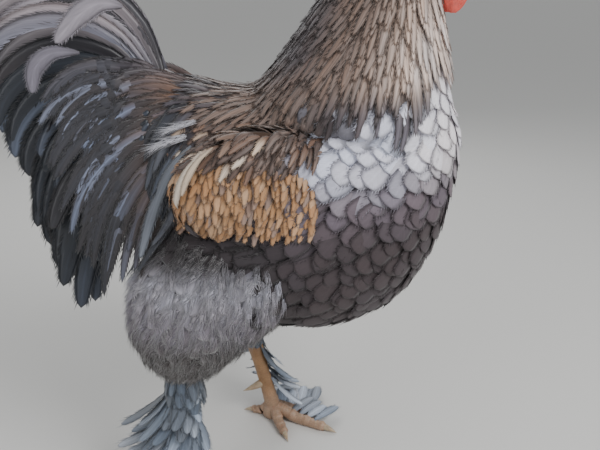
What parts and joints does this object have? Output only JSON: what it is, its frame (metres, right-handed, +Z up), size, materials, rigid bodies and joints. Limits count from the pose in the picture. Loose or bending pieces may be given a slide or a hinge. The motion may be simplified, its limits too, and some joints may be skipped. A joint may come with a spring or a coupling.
{
  "type": "brahma rooster",
  "caption": "Life-size still model of a brahma rooster in a blue and bronze coat, standing with its left foot forward, with feathered legs and a full tail.",
  "frame": {"origin": "on the floor, under the middle of the bird's box", "axes": "+X the way the bird faces, +Y to its left, +Z up"},
  "size_m": [0.5166, 0.3027, 0.6616],
  "materials": {
    "breast_feather": "soft, scaled body feathers, lavender grey",
    "hackle_feather": "silky pointed feathers, bronze brown with paler centres",
    "wing_feather": "smooth feathers, dark brown above a buff patch",
    "tail_feather": "glossy slate blue vanes with pale edges",
    "fluff": "loose smoky grey down",
    "leg_feather": "blue-grey leg feathers",
    "leg_scale": "orange-yellow scales",
    "horn": "satin horn",
    "red_skin": "bare red skin, finely grained",
    "eye": "wet, clear over a bay iris"
  },
  "bodies": {
    "root": {"torso": "breast_feather", "neck": "hackle_feather", "wing_right": "wing_feather", "wing_left": "wing_feather", "tail": "tail_feather", "thigh_right": "fluff", "thigh_left": "fluff", "shank_right": "leg_feather", "shank_left": "leg_feather", "foot_right": "leg_scale", "foot_left": "leg_scale", "spur_right": "horn", "spur_left": "horn", "claw_inner_right": "horn", "claw_middle_right": "horn", "claw_outer_right": "horn", "claw_hind_right": "horn", "claw_inner_left": "horn", "claw_middle_left": "horn", "claw_outer_left": "horn", "claw_hind_left": "horn", "head": "red_skin", "beak_upper": "horn", "beak_lower": "horn", "comb": "red_skin", "wattle_right": "red_skin", "wattle_left": "red_skin", "earlobe_right": "red_skin", "earlobe_left": "red_skin", "eye_right": "eye", "eye_left": "eye"}
  },
  "joints": []
}
